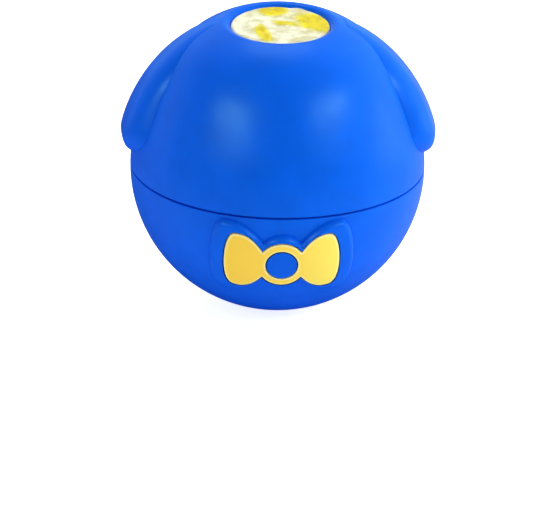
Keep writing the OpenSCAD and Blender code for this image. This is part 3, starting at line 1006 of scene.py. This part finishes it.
tilt, swing, roll = (math.radians(a) for a in (ELEVATION, AZIMUTH, ROLL))
back = Vector((math.sin(swing) * math.cos(tilt), -math.cos(swing) * math.cos(tilt), math.sin(tilt)))
right = Vector((math.cos(swing), math.sin(swing), 0))
up = back.cross(right)
lens_right = right * math.cos(roll) + up * math.sin(roll)
lens_up = up * math.cos(roll) - right * math.sin(roll)
shift = lens_right * ((FRAME_W / 2 - CENTRE_X) * PX) + lens_up * ((CENTRE_Y - FRAME_H / 2) * PX)
camera = bpy.data.objects.new("camera", bpy.data.cameras.new("camera"))
camera.data.type = "ORTHO"
camera.data.ortho_scale = FRAME_W * PX
camera.data.clip_end = 2 * CAMERA_FAR
turned = Matrix((lens_right, lens_up, back)).transposed().to_4x4()
camera.matrix_world = Matrix.Translation(BALL_CENTRE + shift + back * CAMERA_FAR) @ turned
bpy.context.scene.collection.objects.link(camera)
bpy.context.scene.camera = camera


# Lamps; directions start at the ball's centre

LAMP_AWAY = 0.8
SIDE_AWAY = 0.9
LEFT_WAY = (-0.631, -0.587, 0.508)
LEFT_TINT = (0.86, 0.94, 1.0)
RIGHT_TINT = (1.0, 1.0, 0.82)
TOP_TINT = (0.95, 1.0, 1.0)
# Name, direction, distance, width, height, watts, tint and what it gives
LAMPS = [
    ("left_key", LEFT_WAY, LAMP_AWAY, 0.34, 0.16, 0.48, LEFT_TINT, "both"),
    ("left_gloss", LEFT_WAY, LAMP_AWAY, 0.54, 0.10, 3.1, LEFT_TINT, "gloss"),
    ("right_key", (0.771, -0.335, 0.541), LAMP_AWAY, 0.66, 0.12, 2.3, RIGHT_TINT, "light"),
    ("right_gloss", (0.66, -0.50, 0.56), LAMP_AWAY, 0.50, 0.16, 2.9, RIGHT_TINT, "gloss"),
    ("side", (0.98, 0.15, 0.11), SIDE_AWAY, 0.60, 0.24, 3.2, RIGHT_TINT, "light"),
    ("left_rim", (-0.93, 0.34, 0.14), LAMP_AWAY, 0.40, 0.26, 0.5, LEFT_TINT, "light"),
    ("top", (0.0, 0.38, 0.92), LAMP_AWAY, 0.50, 0.40, 1.8, TOP_TINT, "both"),
]


def lamp(name, way, away, wide, tall, watts, tint, gives):
    """An oval lamp that faces the ball and gives it plain light, gloss or both."""
    made = bpy.data.objects.new(name, bpy.data.lights.new(name, "AREA"))
    made.data.shape = "ELLIPSE"
    made.data.size = wide
    made.data.size_y = tall
    made.data.energy = watts
    made.data.color = tint
    place_at = BALL_CENTRE + away * Vector(way)
    made.location = place_at
    made.rotation_mode = "QUATERNION"
    made.rotation_quaternion = (BALL_CENTRE - place_at).to_track_quat("-Z", "Y")
    made.visible_diffuse = gives != "gloss"
    made.visible_glossy = gives != "light"
    bpy.context.scene.collection.objects.link(made)


for values in LAMPS:
    lamp(*values)


# World and floor

AMBIENT_WAY = (0.45, 1.0, 0.0)
AMBIENT_SPAN = (-0.3, 0.8)
AMBIENT_STRENGTH = (0.38, 1.40)
AMBIENT_TINTS = [(0.0, grey(1.0)), (1.0, (0.24, 0.5, 0.5))]

FLOOR_HALF = 1.5
FLOOR_DROP = 0.02 * MM
FLOOR_COLOUR = (0.88, 0.88, 0.88)
FLOOR_ROUGHNESS = 0.8
FLOOR_SHEEN = 0.2
# Floor glow: soft fill light from below for the ball, and white to the camera
FLOOR_GLOW = [(0.0, grey(0.25)), (1.0, grey(0.8))]
FLOOR_TONES = [(0.0, grey(0.88)), (1.0, grey(0.03))]
# Glow of the floor's right side in reflections, which lights the ball's lower right: where it starts
# rising and reaches full, across in metres, and how strong
MIRROR_SPAN = (0.02, 0.09)
MIRROR_STRENGTH = (0.0, 1.7)


def studio():
    """A world white to the camera, whose soft light is stronger from behind and from the right."""
    world = bpy.data.worlds.new("studio")
    bpy.context.scene.world = world
    world.use_nodes = True
    tree = world.node_tree
    tree.nodes.clear()
    ray = tree.nodes.new("ShaderNodeLightPath")
    where = tree.nodes.new("ShaderNodeTexCoord")
    toward = tree.nodes.new("ShaderNodeVectorMath")
    toward.operation = "DOT_PRODUCT"
    attach(tree, where.outputs["Generated"], toward.inputs[0])
    attach(tree, AMBIENT_WAY, toward.inputs[1])
    strength = map_range(tree, toward.outputs["Value"], AMBIENT_SPAN, AMBIENT_STRENGTH, "SMOOTHSTEP")
    tint = ramp(tree, ray.outputs["Is Glossy Ray"], AMBIENT_TINTS)
    ambient = node(tree, "ShaderNodeBackground", Color=tint, Strength=strength)
    seen = node(tree, "ShaderNodeBackground", Color=(1, 1, 1, 1), Strength=1.0)
    choose = node(tree, "ShaderNodeMixShader", Fac=ray.outputs["Is Camera Ray"])
    attach(tree, ambient.outputs["Background"], choose.inputs[1])
    attach(tree, seen.outputs["Background"], choose.inputs[2])
    node(tree, "ShaderNodeOutputWorld", Surface=choose.outputs["Shader"])


def white_floor():
    """A floor white to the camera that glows as soft fill light from below, and is dim in reflections
    apart from its right side, which glows in them.
    """
    bpy.ops.mesh.primitive_plane_add(size=2 * FLOOR_HALF, location=(0, 0, -FLOOR_DROP))
    floor = bpy.context.object
    floor.name = "floor"
    made, tree, shader = material("floor", FLOOR_COLOUR, FLOOR_ROUGHNESS, FLOOR_SHEEN)
    ray = tree.nodes.new("ShaderNodeLightPath")
    glossy = ray.outputs["Is Glossy Ray"]
    mirrored = calculate(tree, "MULTIPLY", across_object(tree, MIRROR_SPAN, MIRROR_STRENGTH), glossy)
    plain = calculate(tree, "SUBTRACT", 1.0, glossy)
    attach(tree, calculate(tree, "ADD", mirrored, plain), shader.inputs["Emission Strength"])
    attach(tree, ramp(tree, ray.outputs["Is Camera Ray"], FLOOR_GLOW), shader.inputs["Emission Color"])
    attach(tree, ramp(tree, glossy, FLOOR_TONES), shader.inputs["Base Color"])
    floor.data.materials.append(made)


studio()
white_floor()

view = bpy.context.scene.view_settings
view.view_transform = "Standard"
